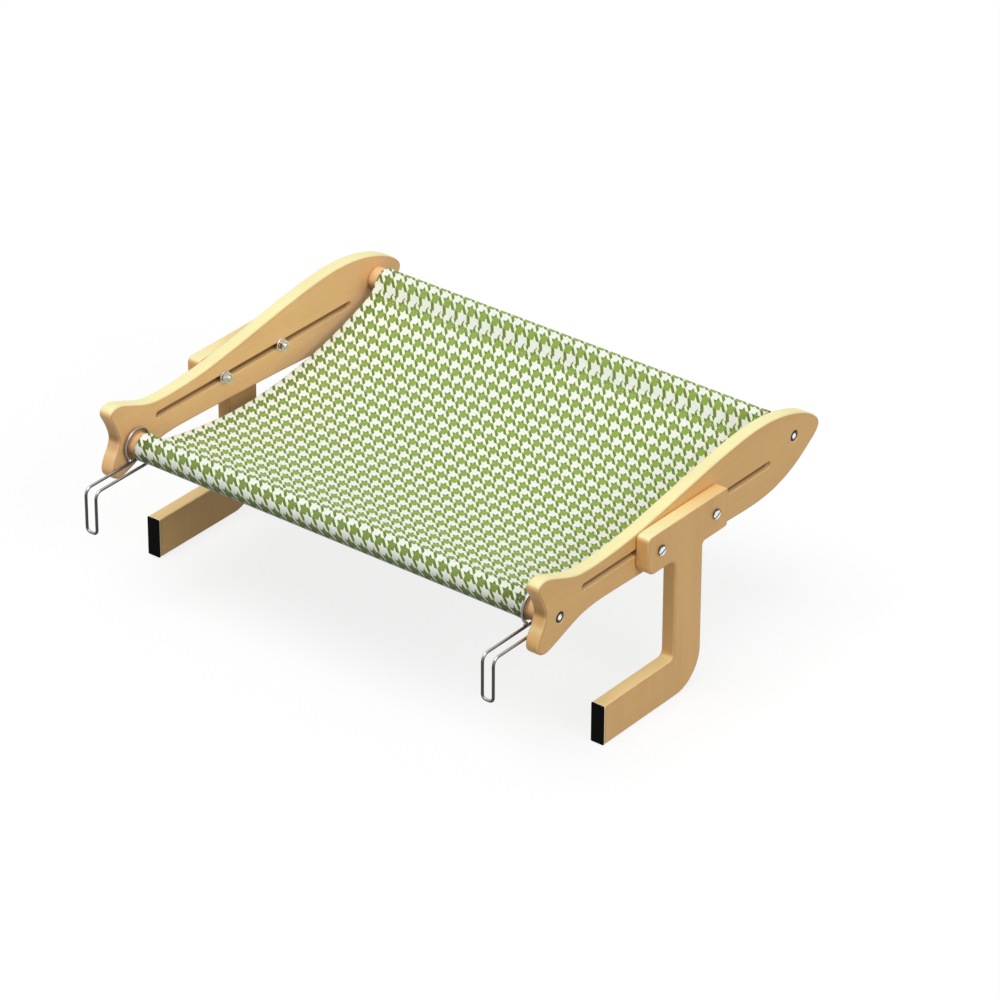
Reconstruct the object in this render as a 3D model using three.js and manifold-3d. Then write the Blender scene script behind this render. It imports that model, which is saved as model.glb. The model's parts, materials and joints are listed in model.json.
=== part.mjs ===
// Cat window hammock: two fish-shaped side panels joined by two dowels, a cloth sling on the dowels,
// two sliding brackets with feet and two wire hooks. Lengths are in millimetres, +Z is up, +X runs
// across the hammock and -Y points at the window, where the hooks and the feet are.
import * as THREE from 'three';
import { mergeVertices } from 'three/addons/utils/BufferGeometryUtils.js';
import Module from 'manifold-3d';

const wasm = await Module();
wasm.setup();

// Driving dimensions: the whole object
const overallWidth = 450;
const seatGap = 0.3;
const runningGap = 0.3;
const cutOverrun = 2;

// Driving dimensions: brackets
const bracketThickness = 12;
const bracketEdgeRound = 1;
const footLength = 120.5;
const footHeight = 34;
const footTipRadius = 2;
const footPadThickness = 2;
const footPadEdgeRound = 0.4;
const footPadCornerRadius = 0.8;
const heelRadius = 30;
const instepRadius = 5;
const legWidth = 34;
const headFrontReach = 34.5;
const headBackReach = 31;
const headHeight = 33.5;
const headTop = 154;
const headFrontTopRadius = 5;
const headFrontBottomRadius = 9;
const headBackRadius = 3;
const armpitFrontRadius = 7;
const armpitBackRadius = 3;

// Driving dimensions: side panels
const panelThickness = 12;
const panelEdgeRound = 1;
const panelLength = 351;
const panelHeight = 74.3;
const tailOverhang = 64.8;
const slotRise = 36.5;
const slotInset = 52.3;
const slotLength = 235;

// Driving dimensions: dowels
const dowelRadius = 10;
const dowelChamfer = 0.8;
const frontDowelInset = 26.6;
const frontDowelRise = 23.8;
const backDowelInset = 33;
const backDowelRise = 47;

// Driving dimensions: clamp bolts with their washers and nuts
const boltRadius = 2.5;
const boltPitch = 68;
const boltDrop = 16;
const boltHeadRadius = 4.75;
const boltHeadHeight = 2.4;
const boltHeadRim = 0.9;
const boltDriveWidth = 1.2;
const boltDriveDepth = 1.1;
const boltEndLength = 1.2;
const boltEndChamfer = 0.5;
const washerRadius = 5.5;
const washerThickness = 1;
const nutAcrossFlats = 8;
const nutHeight = 4;
const nutChamfer = 0.4;

// Driving dimensions: dowel screws and their threaded inserts
const screwRadius = 2.5;
const screwLength = 24;
const screwHeadRadius = 4.25;
const screwHeadHeight = 5;
const screwHeadChamfer = 0.5;
const screwHeadRecess = 0.3;
const screwKeyAcrossFlats = 4;
const screwKeyDepth = 2.5;
const insertRadius = 4;
const insertLength = 20;
const insertChamfer = 0.5;
const insertInset = 0.5;

// Driving dimensions: sling
const clothThickness = 1;
const slingDrop = 13.8;
const slingLowShare = 0.395;
const slingAimRise = 3;
const seamReach = 18;

// Driving dimensions: wire hooks
const wireRadius = 1.25;
const eyeSleeveGap = 0.45;
const eyeEndDegrees = 42;
const curlDegrees = 10;
const hookPitch = 10.1;
const hookReach = 59.8;
const hookBottom = 49.5;
const hookBendRadius = 6;
const hookCornerRadius = 3.5;
const leftHookPanelGap = 1.6;
const leftEyeClothGap = 5.6;
const rightHookPanelGap = 1.5;
const rightHookClothGap = 0.6;
const weldRadius = 1.7;

// Facet counts
const roundSides = 28;
const smallRoundSides = 16;
const cornerSteps = 5;
const outlineStepsPerPoint = 2;
const sagSteps = 26;
const sleeveSteps = 18;
const wireSides = 8;
const wireSteps = 112;
const weldSides = 10;

// Fish outline of a side panel, tail at the front: shares of the panel's length and height,
// from the notch of the tail over the back to the nose and home along the belly.
const fishShares = [
  [0.0271, 0.437], [0.0222, 0.532], [0.0128, 0.639], [0.0028, 0.724], [0, 0.777], [0.0063, 0.821],
  [0.0208, 0.844], [0.0393, 0.837], [0.0707, 0.782], [0.1048, 0.719], [0.1362, 0.676], [0.1704, 0.66],
  [0.2274, 0.661], [0.3128, 0.69], [0.4125, 0.758], [0.5265, 0.852], [0.6405, 0.941], [0.7259, 0.989],
  [0.7829, 1], [0.8399, 0.978], [0.8969, 0.919], [0.9481, 0.825], [0.9823, 0.725], [0.9977, 0.647],
  [1, 0.588], [0.9909, 0.515], [0.9624, 0.413], [0.9197, 0.287], [0.8769, 0.2005], [0.8285, 0.141],
  [0.7687, 0.116], [0.6832, 0.125], [0.555, 0.157], [0.4125, 0.184], [0.2701, 0.206], [0.1989, 0.207],
  [0.1504, 0.179], [0.1048, 0.112], [0.0621, 0.04], [0.0308, 0], [0.0123, 0.019], [0.0017, 0.077],
  [0.0006, 0.148], [0.0085, 0.242], [0.0205, 0.336],
];

// Places worked out from the driving dimensions, with y = 0 at the front of the foot pads
const bracketOuter = overallWidth / 2;
const bracketInner = bracketOuter - bracketThickness;
const panelOuter = bracketInner - seatGap;
const panelInner = panelOuter - panelThickness;
const panelTail = -tailOverhang;
const panelNose = panelTail + panelLength;
const boltHeight = headTop - boltDrop;
const panelBottom = boltHeight - slotRise;
const legFront = footLength - legWidth;
const headFront = legFront - headFrontReach;
const headBack = footLength + headBackReach;
const headMiddle = (headFront + headBack) / 2;
const frontBoltY = headMiddle - boltPitch / 2;
const backBoltY = headMiddle + boltPitch / 2;
const slotHalfHeight = boltRadius + runningGap;
const slotFront = panelTail + slotInset;
const frontDowel = new THREE.Vector2(panelTail + frontDowelInset, panelBottom + frontDowelRise);
const backDowel = new THREE.Vector2(panelNose - backDowelInset, panelBottom + backDowelRise);
const dowelHalfLength = panelInner - seatGap;
const shankHoleRadius = screwRadius + seatGap;
const counterboreRadius = screwHeadRadius + seatGap;
const counterboreDepth = screwHeadHeight + screwHeadRecess + seatGap;
const insertHoleRadius = insertRadius + seatGap;
const screwHoleDepth = Math.max(insertLength + insertInset, screwLength) + cutOverrun;
const sleeveInnerRadius = dowelRadius + seatGap;
const sleeveOuterRadius = sleeveInnerRadius + clothThickness;
const eyeRadius = sleeveOuterRadius + eyeSleeveGap + wireRadius;
const leftHookX = leftHookPanelGap + wireRadius - panelInner;
const rightHookX = panelInner - rightHookPanelGap - wireRadius - hookPitch;
const slingLeft = leftHookX + wireRadius + leftEyeClothGap;
const slingRight = rightHookX - wireRadius - rightHookClothGap;
const hookFront = frontDowel.x - hookReach - wireRadius;
const depthMiddle = (panelNose + hookFront) / 2;

// Materials
const finish = (color, roughness, metalness) => (
  () => new THREE.MeshStandardMaterial({ color, roughness, metalness })
);
const birchFinish = finish(0xc9a06a, 0.6, 0);
const dowelFinish = finish(0xd9b585, 0.6, 0);
const clothFinish = finish(0xb9c98c, 0.9, 0);
const rubberFinish = finish(0x141414, 0.8, 0);
const steelFinish = finish(0xc4c6c8, 0.3, 1);
const wireFinish = finish(0x8d9094, 0.25, 1);
const brassFinish = finish(0xc2a25a, 0.4, 1);

// Turns a shape drawn in (y, z) and pushed along its own normal into one that is pushed along x.
function faceAlongX(geometry) {
  const basis = new THREE.Matrix4().makeBasis(
    new THREE.Vector3(0, 1, 0), new THREE.Vector3(0, 0, 1), new THREE.Vector3(1, 0, 0),
  );
  return geometry.applyMatrix4(basis);
}

// Turns a lathe's own axis, y, into x.
function axisAlongX(geometry) {
  return geometry.rotateZ(-Math.PI / 2);
}

function toSolid(geometry) {
  const bare = new THREE.BufferGeometry();
  bare.setAttribute('position', geometry.getAttribute('position').clone());
  bare.setIndex(geometry.getIndex());
  const merged = mergeVertices(bare);
  return new wasm.Manifold(new wasm.Mesh({
    numProp: 3,
    vertProperties: new Float32Array(merged.getAttribute('position').array),
    triVerts: new Uint32Array(merged.getIndex().array),
  }));
}

function toGeometry(solid) {
  const mesh = solid.getMesh();
  const geometry = new THREE.BufferGeometry();
  geometry.setAttribute('position', new THREE.BufferAttribute(mesh.vertProperties, 3));
  geometry.setIndex(new THREE.BufferAttribute(mesh.triVerts, 1));
  geometry.computeVertexNormals();
  return geometry;
}

function cutAway(geometry, tools) {
  return toGeometry(tools.reduce((body, tool) => body.subtract(toSolid(tool)), toSolid(geometry)));
}

// A lathe with its axis along x, from profile points written as [radius, x].
function turned(profile, sides) {
  const points = profile.map(([radius, x]) => new THREE.Vector2(radius, x));
  return axisAlongX(new THREE.LatheGeometry(points, sides));
}

// A cylinder along x from one x to another, centred on (y, z).
function rod(radius, fromX, toX, y, z, sides) {
  const profile = [[0, fromX], [radius, fromX], [radius, toX], [0, toX]];
  return turned(profile, sides).translate(0, y, z);
}

// Corner points [y, z, radius] become an outline whose corners are arcs of that radius.
function roundedOutline(corners) {
  const points = [];
  corners.forEach(([y, z, radius], index) => {
    const corner = new THREE.Vector2(y, z);
    const [beforeY, beforeZ] = corners[(index + corners.length - 1) % corners.length];
    const [afterY, afterZ] = corners[(index + 1) % corners.length];
    const toBefore = new THREE.Vector2(beforeY, beforeZ).sub(corner).normalize();
    const toAfter = new THREE.Vector2(afterY, afterZ).sub(corner).normalize();
    const halfAngle = Math.acos(toBefore.dot(toAfter)) / 2;
    const middle = toBefore.clone().add(toAfter).normalize();
    const centre = middle.multiplyScalar(radius / Math.sin(halfAngle)).add(corner);
    const start = toBefore.multiplyScalar(radius / Math.tan(halfAngle)).add(corner).sub(centre);
    const end = toAfter.multiplyScalar(radius / Math.tan(halfAngle)).add(corner).sub(centre);
    const sweep = Math.atan2(start.cross(end), start.dot(end));
    for (let step = 0; step <= cornerSteps; step += 1) {
      const spoke = start.clone().rotateAround(new THREE.Vector2(), (sweep * step) / cornerSteps);
      points.push(spoke.add(centre));
    }
  });
  return points;
}

// A board of the given thickness with eased edges, its middle plane at x = 0.
function board(outline, thickness, edgeRound, holes = []) {
  const shape = new THREE.Shape(outline);
  shape.holes = holes.map((hole) => new THREE.Path(hole));
  const geometry = new THREE.ExtrudeGeometry(shape, {
    depth: thickness - 2 * edgeRound,
    bevelThickness: edgeRound,
    bevelSize: edgeRound,
    bevelOffset: -edgeRound,
    bevelSegments: 1,
  });
  return faceAlongX(geometry.translate(0, 0, edgeRound - thickness / 2));
}

// Side panel: the fish outline with the slot for the clamp bolts and two stepped screw holes.
function fishOutline() {
  const points = fishShares.map(([along, up]) => new THREE.Vector3(
    panelTail + along * panelLength, panelBottom + up * panelHeight, 0,
  ));
  const curve = new THREE.CatmullRomCurve3(points, true, 'centripetal');
  return curve.getPoints(points.length * outlineStepsPerPoint).slice(0, -1)
    .map((point) => new THREE.Vector2(point.x, point.y));
}

function slotOutline() {
  const slotBack = slotFront + slotLength;
  const low = boltHeight - slotHalfHeight;
  const high = boltHeight + slotHalfHeight;
  return roundedOutline([
    [slotFront, low, slotHalfHeight], [slotBack, low, slotHalfHeight],
    [slotBack, high, slotHalfHeight], [slotFront, high, slotHalfHeight],
  ]);
}

function sidePanel(side) {
  const middleX = side * (panelInner + panelThickness / 2);
  const body = board(fishOutline(), panelThickness, panelEdgeRound, [slotOutline()]);
  const inside = side * (panelInner - cutOverrun);
  const outside = side * (panelOuter + cutOverrun);
  const shoulder = side * (panelOuter - counterboreDepth);
  const tools = [frontDowel, backDowel].flatMap(({ x: y, y: z }) => [
    rod(shankHoleRadius, Math.min(inside, outside), Math.max(inside, outside), y, z, smallRoundSides),
    rod(counterboreRadius, Math.min(shoulder, outside), Math.max(shoulder, outside), y, z, roundSides),
  ]);
  return cutAway(body.translate(middleX, 0, 0), tools);
}

// Dowel: a rod with chamfered ends and a blind hole for a threaded insert in each end.
function dowel() {
  const end = dowelHalfLength;
  const floor = end - screwHoleDepth;
  return turned([
    [0, -floor], [insertHoleRadius, -floor], [insertHoleRadius, -end],
    [dowelRadius - dowelChamfer, -end], [dowelRadius, dowelChamfer - end],
    [dowelRadius, end - dowelChamfer], [dowelRadius - dowelChamfer, end],
    [insertHoleRadius, end], [insertHoleRadius, floor], [0, floor],
  ], roundSides);
}

// Threaded insert: a sleeve that starts just inside the dowel's end, drawn for the +x end.
function dowelInsert() {
  const outerEnd = dowelHalfLength - insertInset;
  const innerEnd = outerEnd - insertLength;
  return turned([
    [shankHoleRadius, innerEnd], [insertRadius - insertChamfer, innerEnd],
    [insertRadius, innerEnd + insertChamfer], [insertRadius, outerEnd - insertChamfer],
    [insertRadius - insertChamfer, outerEnd], [shankHoleRadius, outerEnd], [shankHoleRadius, innerEnd],
  ], smallRoundSides);
}

// Dowel screw: a cap head with a hexagon socket, sunk in the panel's outer face, for the +x end.
function dowelScrew() {
  const headTopX = panelOuter - screwHeadRecess;
  const headBase = headTopX - screwHeadHeight;
  const tip = headBase - screwLength;
  const body = turned([
    [0, tip], [screwRadius, tip], [screwRadius, headBase], [screwHeadRadius, headBase],
    [screwHeadRadius, headTopX - screwHeadChamfer], [screwHeadRadius - screwHeadChamfer, headTopX],
    [0, headTopX],
  ], smallRoundSides);
  const keyRadius = screwKeyAcrossFlats / Math.sqrt(3);
  return cutAway(body, [rod(keyRadius, headTopX - screwKeyDepth, headTopX + cutOverrun, 0, 0, 6)]);
}

// Bracket: a head for two clamp bolts, a leg and a foot, all one board.
function bracket() {
  const headBottom = headTop - headHeight;
  const outline = roundedOutline([
    [footPadThickness, 0, footTipRadius],
    [footLength, 0, heelRadius],
    [footLength, headBottom, armpitBackRadius],
    [headBack, headBottom, headBackRadius],
    [headBack, headTop, headBackRadius],
    [headFront, headTop, headFrontTopRadius],
    [headFront, headBottom, headFrontBottomRadius],
    [legFront, headBottom, armpitFrontRadius],
    [legFront, footHeight, instepRadius],
    [footPadThickness, footHeight, footTipRadius],
  ]);
  const reach = bracketThickness / 2 + cutOverrun;
  const holes = [frontBoltY, backBoltY].map((y) => (
    rod(boltRadius + seatGap, -reach, reach, y, boltHeight, smallRoundSides)
  ));
  return cutAway(board(outline, bracketThickness, bracketEdgeRound), holes);
}

// Foot pad: a soft plate on the front end of the foot.
function footPad() {
  const outline = roundedOutline([
    [0, 0, footPadCornerRadius], [footPadThickness, 0, footPadCornerRadius],
    [footPadThickness, footHeight, footPadCornerRadius], [0, footHeight, footPadCornerRadius],
  ]);
  return board(outline, bracketThickness, footPadEdgeRound);
}

// Clamp bolt: a slotted pan head outside the bracket and a shank through bracket, panel and nut.
const washerOuterX = panelInner - seatGap;
const nutOuterX = washerOuterX - washerThickness - seatGap;
const boltTipX = nutOuterX - nutHeight - boltEndLength;

function clampBolt() {
  const headBase = bracketOuter + seatGap;
  const headFace = headBase + boltHeadHeight;
  const dome = headBase + boltHeadRim;
  const body = turned([
    [0, boltTipX], [boltRadius - boltEndChamfer, boltTipX], [boltRadius, boltTipX + boltEndChamfer],
    [boltRadius, headBase], [boltHeadRadius, headBase], [boltHeadRadius, dome],
    [boltHeadRadius * Math.cos(Math.PI / 6), dome + (headFace - dome) / 2],
    [boltHeadRadius * Math.cos(Math.PI / 3), headFace], [0, headFace],
  ], smallRoundSides);
  const drive = new THREE.BoxGeometry(
    boltDriveDepth + cutOverrun, 2 * (boltHeadRadius + cutOverrun), boltDriveWidth,
  );
  return cutAway(body, [drive.translate(headFace + (cutOverrun - boltDriveDepth) / 2, 0, 0)]);
}

function clampWasher() {
  const inner = washerOuterX - washerThickness;
  const hole = boltRadius + seatGap;
  return turned([
    [hole, inner], [washerRadius, inner], [washerRadius, washerOuterX], [hole, washerOuterX], [hole, inner],
  ], smallRoundSides);
}

function clampNut() {
  const cornerRadius = nutAcrossFlats / Math.sqrt(3);
  const hexagon = Array.from({ length: 6 }, (_, index) => new THREE.Vector2(
    cornerRadius * Math.cos((index * Math.PI) / 3), cornerRadius * Math.sin((index * Math.PI) / 3),
  ));
  const hole = boltRadius + seatGap;
  const reach = nutHeight / 2 + cutOverrun;
  const body = board(hexagon, nutHeight, nutChamfer);
  const bored = cutAway(body, [rod(hole, -reach, reach, 0, 0, smallRoundSides)]);
  return bored.translate(nutOuterX - nutHeight / 2, 0, 0);
}

// Sling: one sheet that sags between two sleeves. The sheet's top follows a parabola on each side of
// its lowest point, and each sleeve is a loop round its dowel that closes in a seam.
const lowestY = frontDowel.x + slingLowShare * (backDowel.x - frontDowel.x);
const lowestZ = frontDowel.y - slingDrop;

function sheetTop(y) {
  const dowelCentre = y < lowestY ? frontDowel : backDowel;
  const rise = dowelCentre.y + slingAimRise - lowestZ;
  const share = (y - lowestY) / (dowelCentre.x - lowestY);
  return lowestZ + rise * share * share;
}

// The loop leaves the seam's top, runs round the dowel and comes back to the seam's bottom.
function sleeveLoop(centre, radius, seamTop, seamBottom, side) {
  const upper = seamTop.clone().sub(centre);
  const lower = seamBottom.clone().sub(centre);
  const start = upper.angle() + side * Math.acos(radius / upper.length());
  const end = lower.angle() - side * Math.acos(radius / lower.length());
  const turn = THREE.MathUtils.euclideanModulo(side * (end - start), 2 * Math.PI);
  return Array.from({ length: sleeveSteps + 1 }, (_, step) => {
    const angle = start + (side * turn * step) / sleeveSteps;
    return new THREE.Vector2(Math.cos(angle), Math.sin(angle)).multiplyScalar(radius).add(centre);
  });
}

function sling() {
  const frontSeam = frontDowel.x + seamReach;
  const backSeam = backDowel.x - seamReach;
  const sheet = Array.from({ length: sagSteps + 1 }, (_, step) => {
    const y = frontSeam + ((backSeam - frontSeam) * step) / sagSteps;
    return new THREE.Vector2(y, sheetTop(y));
  });
  const underside = sheet.map((point) => new THREE.Vector2(point.x, point.y - clothThickness));
  const ends = [
    { centre: frontDowel, top: sheet[0], bottom: underside[0], side: 1 },
    { centre: backDowel, top: sheet[sagSteps], bottom: underside[sagSteps], side: -1 },
  ];
  const [frontLoop, backLoop] = ends.map(({ centre, top, bottom, side }) => (
    sleeveLoop(centre, sleeveOuterRadius, top, bottom, side)
  ));
  const hollows = ends.map(({ centre, top, bottom, side }) => {
    const apex = top.clone().add(bottom).multiplyScalar(0.5).sub(centre);
    apex.multiplyScalar(sleeveInnerRadius / sleeveOuterRadius).add(centre);
    return [apex, ...sleeveLoop(centre, sleeveInnerRadius, apex, apex, side)];
  });
  const shape = new THREE.Shape([...underside, ...backLoop.reverse(), ...sheet.reverse(), ...frontLoop]);
  shape.holes = hollows.map((hollow) => new THREE.Path(hollow));
  const geometry = new THREE.ExtrudeGeometry(shape, { depth: slingRight - slingLeft, bevelEnabled: false });
  return faceAlongX(geometry).translate(slingLeft, 0, 0);
}

// An arc of wire round a centre: it starts at radius * from and turns towards radius * towards.
class Bend extends THREE.Curve {
  constructor(centre, radius, from, towards, degrees) {
    super();
    Object.assign(this, { centre, radius, from, towards, angle: THREE.MathUtils.degToRad(degrees) });
  }

  getPoint(share, target = new THREE.Vector3()) {
    const angle = share * this.angle;
    return target.copy(this.centre)
      .addScaledVector(this.from, this.radius * Math.cos(angle))
      .addScaledVector(this.towards, this.radius * Math.sin(angle));
  }
}

// Wire hook: a closed eye round the dowel, an arm forward, a U that drops over the edge it hangs on,
// a second arm back under the dowel and a short curl. The dowel's axis is at y = 0 and z = 0.
function wireHook() {
  const across = new THREE.Vector3(1, 0, 0);
  const forward = new THREE.Vector3(0, -1, 0);
  const back = new THREE.Vector3(0, 1, 0);
  const up = new THREE.Vector3(0, 0, 1);
  const down = new THREE.Vector3(0, 0, -1);
  const left = new THREE.Vector3(-1, 0, 0);
  const endAngle = THREE.MathUtils.degToRad(eyeEndDegrees);
  const eyeFrom = down.clone().applyAxisAngle(across, -endAngle);
  const eyeTowards = forward.clone().applyAxisAngle(across, -endAngle);
  const bendY = hookBendRadius - hookReach;
  const bendZ = -eyeRadius - hookBendRadius;
  const cornerZ = hookCornerRadius - hookBottom;
  const place = (x, y, z) => new THREE.Vector3(x, y, z);
  const path = new THREE.CurvePath();
  path.curves.push(
    new Bend(place(0, 0, 0), eyeRadius, eyeFrom, eyeTowards, 360 - eyeEndDegrees),
    new THREE.LineCurve3(place(0, 0, -eyeRadius), place(0, bendY, -eyeRadius)),
    new Bend(place(0, bendY, bendZ), hookBendRadius, up, forward, 90),
    new THREE.LineCurve3(place(0, -hookReach, bendZ), place(0, -hookReach, cornerZ)),
    new Bend(place(hookCornerRadius, -hookReach, cornerZ), hookCornerRadius, left, down, 90),
    new THREE.LineCurve3(
      place(hookCornerRadius, -hookReach, -hookBottom),
      place(hookPitch - hookCornerRadius, -hookReach, -hookBottom),
    ),
    new Bend(place(hookPitch - hookCornerRadius, -hookReach, cornerZ), hookCornerRadius, down, across, 90),
    new THREE.LineCurve3(place(hookPitch, -hookReach, cornerZ), place(hookPitch, -hookReach, bendZ)),
    new Bend(place(hookPitch, bendY, bendZ), hookBendRadius, forward, up, 90),
    new THREE.LineCurve3(place(hookPitch, bendY, -eyeRadius), place(hookPitch, 0, -eyeRadius)),
    new Bend(place(hookPitch, 0, 0), eyeRadius, down, back, curlDegrees),
  );
  const section = new THREE.Shape().absarc(0, 0, wireRadius, 0, 2 * Math.PI);
  const wire = new THREE.ExtrudeGeometry(section, {
    extrudePath: path, steps: wireSteps, curveSegments: wireSides / 2, bevelEnabled: false,
  });
  const endMiddle = eyeFrom.clone().multiplyScalar(eyeRadius);
  const weldZ = (endMiddle.z - eyeRadius) / 2;
  const weld = new THREE.SphereGeometry(weldRadius, weldSides, weldSides / 2);
  return toGeometry(toSolid(wire).add(toSolid(weld.translate(0, endMiddle.y, weldZ))));
}

// The assembly. Everything is built with y = 0 at the foot pads and then centred in depth.
const hammock = new THREE.Group();
hammock.position.y = -depthMiddle;

function add(parent, name, geometry, material, x = 0, y = 0, z = 0) {
  const mesh = new THREE.Mesh(geometry, material);
  mesh.name = name;
  mesh.position.set(x, y, z);
  parent.add(mesh);
}

// A piece drawn for the +x end of its axis, half-turned about the axis's middle for the -x end.
function addAtEnd(parent, name, side, geometry, material, y, z) {
  const holder = new THREE.Group();
  holder.position.set(0, y, z);
  holder.rotation.z = side > 0 ? 0 : Math.PI;
  add(holder, name, geometry, material);
  parent.add(holder);
}

const dowels = [['front', frontDowel], ['back', backDowel]];
const bolts = [['front', frontBoltY], ['back', backBoltY]];

dowels.forEach(([place, centre]) => {
  add(hammock, `${place}_dowel`, dowel(), dowelFinish(), 0, centre.x, centre.y);
});
add(hammock, 'sling_fabric', sling(), clothFinish());

[['left', -1], ['right', 1]].forEach(([name, side]) => {
  const bracketMiddle = side * (bracketInner + bracketThickness / 2);
  add(hammock, `${name}_side_panel`, sidePanel(side), birchFinish());
  dowels.forEach(([place, centre]) => {
    const label = `${name}_${place}_dowel`;
    addAtEnd(hammock, `${label}_screw`, side, dowelScrew(), steelFinish(), centre.x, centre.y);
    addAtEnd(hammock, `${label}_insert`, side, dowelInsert(), brassFinish(), centre.x, centre.y);
  });
  add(hammock, `${name}_bracket`, bracket(), birchFinish(), bracketMiddle);
  add(hammock, `${name}_foot_pad`, footPad(), rubberFinish(), bracketMiddle);
  bolts.forEach(([place, y]) => {
    const label = `${name}_${place}_clamp`;
    addAtEnd(hammock, `${label}_bolt`, side, clampBolt(), steelFinish(), y, boltHeight);
    addAtEnd(hammock, `${label}_washer`, side, clampWasher(), steelFinish(), y, boltHeight);
    addAtEnd(hammock, `${label}_nut`, side, clampNut(), steelFinish(), y, boltHeight);
  });
});

add(hammock, 'left_hook', wireHook(), wireFinish(), leftHookX, frontDowel.x, frontDowel.y);
add(hammock, 'right_hook', wireHook(), wireFinish(), rightHookX, frontDowel.x, frontDowel.y);

export default hammock;
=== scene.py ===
# Looks of the cat window hammock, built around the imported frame. Shapes are written in millimetres with
# y = 0 at the front of the foot pads, as in the part's source, and placed in the frame in metres.
import json
import math

import bmesh
import bpy
import numpy as np
from mathutils import Matrix
from mathutils.geometry import delaunay_2d_cdt


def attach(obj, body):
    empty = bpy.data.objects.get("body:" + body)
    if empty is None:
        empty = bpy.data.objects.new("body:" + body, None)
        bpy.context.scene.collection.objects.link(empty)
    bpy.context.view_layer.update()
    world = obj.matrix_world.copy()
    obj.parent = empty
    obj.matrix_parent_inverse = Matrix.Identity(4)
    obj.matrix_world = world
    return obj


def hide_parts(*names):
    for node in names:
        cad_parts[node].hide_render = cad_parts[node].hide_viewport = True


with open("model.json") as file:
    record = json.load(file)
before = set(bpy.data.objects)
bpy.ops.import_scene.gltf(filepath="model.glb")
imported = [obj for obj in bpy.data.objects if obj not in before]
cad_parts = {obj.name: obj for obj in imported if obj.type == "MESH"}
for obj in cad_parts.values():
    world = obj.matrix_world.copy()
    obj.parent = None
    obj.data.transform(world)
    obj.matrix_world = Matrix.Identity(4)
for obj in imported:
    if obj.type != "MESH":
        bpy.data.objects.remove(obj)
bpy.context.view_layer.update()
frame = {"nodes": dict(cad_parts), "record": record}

MM = 0.001
DEPTH_MIDDLE = 93.475
BODY_OF = {node: body for body, nodes in frame["record"]["behaviour"]["bodies"].items() for node in nodes}

# Sizes taken from the part's source
PANEL_INNER, PANEL_OUTER = 200.7, 212.7
BRACKET_INNER, BRACKET_OUTER = 213.0, 225.0
BOARD_HALF = 6.0
PANEL_TAIL, PANEL_BOTTOM = -64.8, 101.5
PANEL_LENGTH, PANEL_HEIGHT = 351.0, 74.3
FRONT_DOWEL, BACK_DOWEL = (-38.2, 125.3), (253.2, 148.5)
BOLT_HEIGHT, BOLT_PLACES = 138.0, (67.75, 135.75)
SLOT_FRONT, SLOT_BACK, SLOT_HALF = -12.5, 222.5, 2.8
EYE_RADIUS, WIRE_RADIUS = 13.0, 1.2
SLING_LEFT, SLING_RIGHT = -191.0, 186.0
FRONT_SEAM, BACK_SEAM = -20.2, 235.2
SLING_LOW_Y, SLING_LOW_Z = 76.903, 111.5
CHECK = 12.08

# Points round a side panel, in shares of its length and height
FISH_SHARES = np.array([
    .0271, .437, .0222, .532, .0128, .639, .0028, .724, 0, .777, .0063, .821, .0208, .844, .0393, .837,
    .0707, .782, .1048, .719, .1362, .676, .1704, .66, .2274, .661, .3128, .69, .4125, .758, .5265, .852,
    .6405, .941, .7259, .989, .7829, 1, .8399, .978, .8969, .919, .9481, .825, .9823, .725, .9977, .647,
    1, .588, .9909, .515, .9624, .413, .9197, .287, .8769, .2005, .8285, .141, .7687, .116, .6832, .125,
    .555, .157, .4125, .184, .2701, .206, .1989, .207, .1504, .179, .1048, .112, .0621, .04, .0308, 0,
    .0123, .019, .0017, .077, .0006, .148, .0085, .242, .0205, .336,
]).reshape(-1, 2)


def add_object(name, data):
    made = bpy.data.objects.new(name, data)
    bpy.context.scene.collection.objects.link(made)
    return made


def place_camera():
    """The photograph's viewing angle. The camera's place is a sum of its own three directions."""
    azimuth, elevation, roll = np.radians([38.15, 30.11, 0.22])
    distance, aside, raised = 4255.85, 99.91, 112.42
    level = np.array([math.cos(azimuth), math.sin(azimuth), 0])
    ahead = np.array([math.sin(azimuth), -math.cos(azimuth), 0])
    back = math.cos(elevation) * ahead + [0, 0, math.sin(elevation)]
    upright = np.cross(back, level)
    right = math.cos(roll) * level + math.sin(roll) * upright
    up = math.cos(roll) * upright - math.sin(roll) * level
    data = bpy.data.cameras.new("photo_camera")
    data.sensor_width = 36
    data.lens = 200.3127
    data.clip_end = 60
    matrix = np.eye(4)
    matrix[:3, :3] = np.stack([right, up, back], 1)
    matrix[:3, 3] = (distance * back + aside * right + raised * up - [0, DEPTH_MIDDLE, 0]) * MM
    camera = add_object("photo_camera", data)
    camera.matrix_world = Matrix(matrix.tolist())
    bpy.context.scene.camera = camera


place_camera()


# Mesh making
def columns(*values):
    """Numbers or arrays, spread to one shape, side by side in a new last axis."""
    return np.stack(np.broadcast_arrays(*values), -1)


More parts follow.
